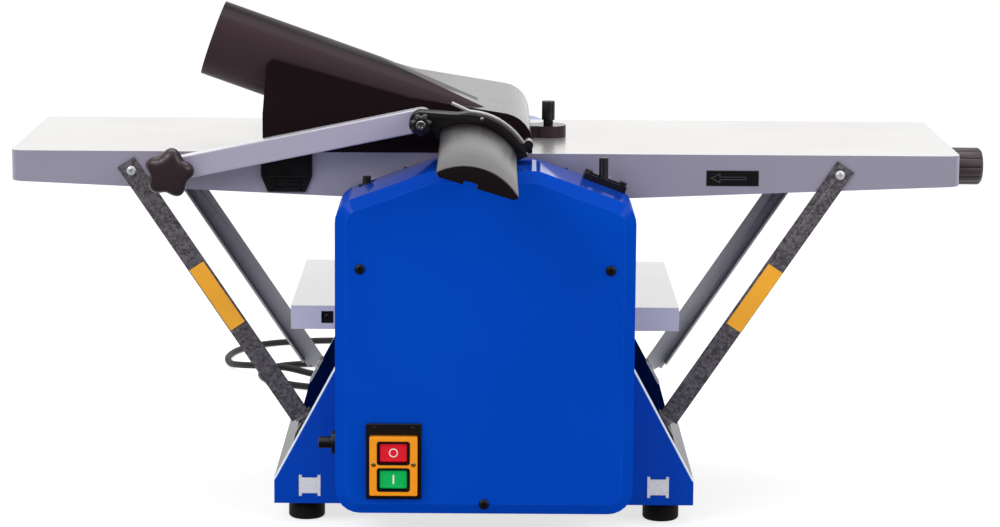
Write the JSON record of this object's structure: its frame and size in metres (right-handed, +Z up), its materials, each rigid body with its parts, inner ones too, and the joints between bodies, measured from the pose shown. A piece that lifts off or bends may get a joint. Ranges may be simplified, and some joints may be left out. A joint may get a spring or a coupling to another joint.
{
  "type": "combination planer thicknesser",
  "caption": "Bench planer thicknesser: long ribbed tables over a cutterblock, rising thickness table, blue drive cover, sheet base, strut-braced tables, arched guard and chip hood.",
  "frame": {"origin": "on the floor, at the centre of the four feet", "axes": "+X to the infeed end, -Y to the operator's side with the drive cover, +Z up"},
  "size_m": [0.9693, 1.2554, 0.5103],
  "materials": {
    "cover_blue": "gloss powder coat",
    "pan_blue": "gloss powder coat",
    "table_alloy": "ground top, satin cast sides",
    "zinc_steel": "spangled galvanised",
    "bright_steel": "turned and ground",
    "dark_alloy": "grey cast",
    "bronze": "turned bronze",
    "black_plastic": "fine grained",
    "grey_plastic": "fine grained",
    "black_rubber": "matt",
    "yellow_plastic": "satin",
    "red_plastic": "satin",
    "green_plastic": "satin",
    "black_steel": "blackened"
  },
  "bodies": {
    "machine": {"base_pan": "pan_blue", "rubber_feet": "black_rubber", "front_plate": "pan_blue", "rear_plate": "pan_blue", "drive_cover": "cover_blue", "rear_cover": "cover_blue", "cover_screws": "black_steel", "outfeed_table": "table_alloy", "front_outfeed_strut": "zinc_steel", "rear_outfeed_strut": "zinc_steel", "front_infeed_strut": "zinc_steel", "rear_infeed_strut": "zinc_steel", "fixed_strut_screws": "bright_steel", "bearing_housings": "dark_alloy", "cutter_bearings": "bright_steel", "drive_belt": "black_rubber", "motor_housing": "dark_alloy", "feed_belt": "black_rubber", "feed_gearbox": "dark_alloy", "feed_chains": "bright_steel", "roller_blocks": "bronze", "lift_chain": "bright_steel", "guide_columns": "bright_steel", "lever_gate": "black_plastic", "switch_plate": "black_plastic", "switch_frame": "yellow_plastic", "overload_breaker": "black_plastic", "guard_bracket": "black_plastic", "cord_gland": "black_plastic", "cord": "black_rubber", "cord_coil": "black_rubber", "plug": "black_rubber"},
    "infeed_table": {"infeed_table": "table_alloy", "feed_arrow_plate": "black_plastic", "infeed_strut_screws": "bright_steel"},
    "depth_knob": {"depth_knob": "grey_plastic"},
    "thickness_table": {"thickness_table": "table_alloy", "lift_nuts": "bronze"},
    "front_spindle": {"front_spindle": "bright_steel"},
    "rear_spindle": {"rear_spindle": "bright_steel"},
    "cutterblock": {"cutterblock": "bright_steel", "planer_knives": "bright_steel"},
    "motor_shaft": {"motor_shaft": "bright_steel"},
    "gearbox_pulley": {"gearbox_pulley": "dark_alloy"},
    "gearbox_output": {"gearbox_output": "bright_steel"},
    "infeed_roller": {"infeed_roller": "bright_steel"},
    "outfeed_roller": {"outfeed_roller": "black_rubber"},
    "feed_lever": {"feed_lever": "black_plastic"},
    "stop_button": {"stop_button": "red_plastic"},
    "start_button": {"start_button": "green_plastic"},
    "reset_button": {"reset_button": "black_plastic"},
    "guard_arm": {"guard_arm": "table_alloy", "guard_holder": "black_plastic"},
    "arm_knob": {"arm_knob": "black_plastic"},
    "holder_knob": {"holder_knob": "black_plastic"},
    "clamp_lever": {"clamp_lever": "zinc_steel"},
    "guard": {"guard": "black_plastic"},
    "chip_hood": {"chip_hood": "black_plastic", "hood_clip": "black_plastic"},
    "hood_thumb_screw": {"hood_thumb_screw": "black_plastic"}
  },
  "joints": [
    {"name": "depth_slide", "type": "slide", "parent": "machine", "child": "infeed_table", "axis": [0, 0, 1], "range_m": [-0.003, 0]},
    {"name": "depth_turn", "type": "hinge", "parent": "infeed_table", "child": "depth_knob", "pos_m": [0.464, 0, 0.34], "axis": [1, 0, 0], "range_deg": [-271, 1]},
    {"name": "table_lift", "type": "slide", "parent": "machine", "child": "thickness_table", "axis": [0, 0, 1], "range_m": [-0.022, 0.092]},
    {"name": "front_screw", "type": "hinge", "parent": "machine", "child": "front_spindle", "pos_m": [-0.1155, -0.157, 0.1], "axis": [0, 0, 1], "continuous": true},
    {"name": "rear_screw", "type": "hinge", "parent": "machine", "child": "rear_spindle", "pos_m": [-0.1155, 0.157, 0.1], "axis": [0, 0, 1], "continuous": true},
    {"name": "cutter_spin", "type": "hinge", "parent": "machine", "child": "cutterblock", "pos_m": [0, 0, 0.341], "axis": [0, 1, 0], "continuous": true},
    {"name": "motor_spin", "type": "hinge", "parent": "machine", "child": "motor_shaft", "pos_m": [0.03, 0, 0.095], "axis": [0, 1, 0], "continuous": true},
    {"name": "gear_in_spin", "type": "hinge", "parent": "machine", "child": "gearbox_pulley", "pos_m": [0, 0.169, 0.223], "axis": [0, 1, 0], "continuous": true},
    {"name": "gear_out_spin", "type": "hinge", "parent": "machine", "child": "gearbox_output", "pos_m": [0, 0.169, 0.27], "axis": [0, 1, 0], "continuous": true},
    {"name": "infeed_roll", "type": "hinge", "parent": "machine", "child": "infeed_roller", "pos_m": [0.052, 0, 0.3285], "axis": [0, 1, 0], "continuous": true},
    {"name": "outfeed_roll", "type": "hinge", "parent": "machine", "child": "outfeed_roller", "pos_m": [-0.052, 0, 0.3285], "axis": [0, 1, 0], "continuous": true},
    {"name": "feed_switch", "type": "hinge", "parent": "machine", "child": "feed_lever", "pos_m": [0.114, -0.161, 0.3], "axis": [0, 1, 0], "range_deg": [-5, 9]},
    {"name": "stop_press", "type": "slide", "parent": "machine", "child": "stop_button", "axis": [0, 1, 0], "range_m": [0, 0.003], "stiffness_N_per_m": 400, "springref_m": -0.002},
    {"name": "start_press", "type": "slide", "parent": "machine", "child": "start_button", "axis": [0, 1, 0], "range_m": [0, 0.003], "stiffness_N_per_m": 400, "springref_m": -0.002},
    {"name": "reset_press", "type": "slide", "parent": "machine", "child": "reset_button", "axis": [1, 0, 0], "range_m": [0, 0.003], "stiffness_N_per_m": 400, "springref_m": -0.002},
    {"name": "arm_swing", "type": "hinge", "parent": "machine", "child": "guard_arm", "pos_m": [-0.305, -0.155, 0.353], "axis": [0, -1, 0], "range_deg": [0, 25]},
    {"name": "arm_knob_turn", "type": "hinge", "parent": "machine", "child": "arm_knob", "pos_m": [-0.305, -0.175, 0.353], "axis": [0, 1, 0], "continuous": true},
    {"name": "holder_knob_turn", "type": "hinge", "parent": "guard_arm", "child": "holder_knob", "pos_m": [-0.06271, -0.197, 0.4035], "axis": [0, 1, 0], "continuous": true},
    {"name": "clamp_lift", "type": "hinge", "parent": "guard_arm", "child": "clamp_lever", "pos_m": [0.04066, -0.1776, 0.38323], "axis": [0, 1, 0], "range_deg": [0, 40]},
    {"name": "guard_slide", "type": "slide", "parent": "guard_arm", "child": "guard", "axis": [0, 1, 0], "range_m": [-0.015, 0.008]},
    {"name": "hood_lift", "type": "slide", "parent": "machine", "child": "chip_hood", "axis": [0, 0, 1], "range_m": [0, 0.06]},
    {"name": "thumb_turn", "type": "hinge", "parent": "chip_hood", "child": "hood_thumb_screw", "pos_m": [0.063, 0, 0.38], "axis": [0, 0, 1], "continuous": true}
  ],
  "couplings": [
    {"joint": "depth_turn", "follows": "depth_slide", "rad_per_m": 1570.8},
    {"joint": "front_screw", "follows": "table_lift", "rad_per_m": 1570.8},
    {"joint": "rear_screw", "follows": "table_lift", "rad_per_m": 1570.8},
    {"joint": "motor_spin", "follows": "cutter_spin", "ratio": 1.2143},
    {"joint": "gear_in_spin", "follows": "cutter_spin", "ratio": 0.39286},
    {"joint": "gear_out_spin", "follows": "cutter_spin", "ratio": -0.008197},
    {"joint": "infeed_roll", "follows": "cutter_spin", "ratio": -0.008197},
    {"joint": "outfeed_roll", "follows": "cutter_spin", "ratio": -0.008197}
  ]
}
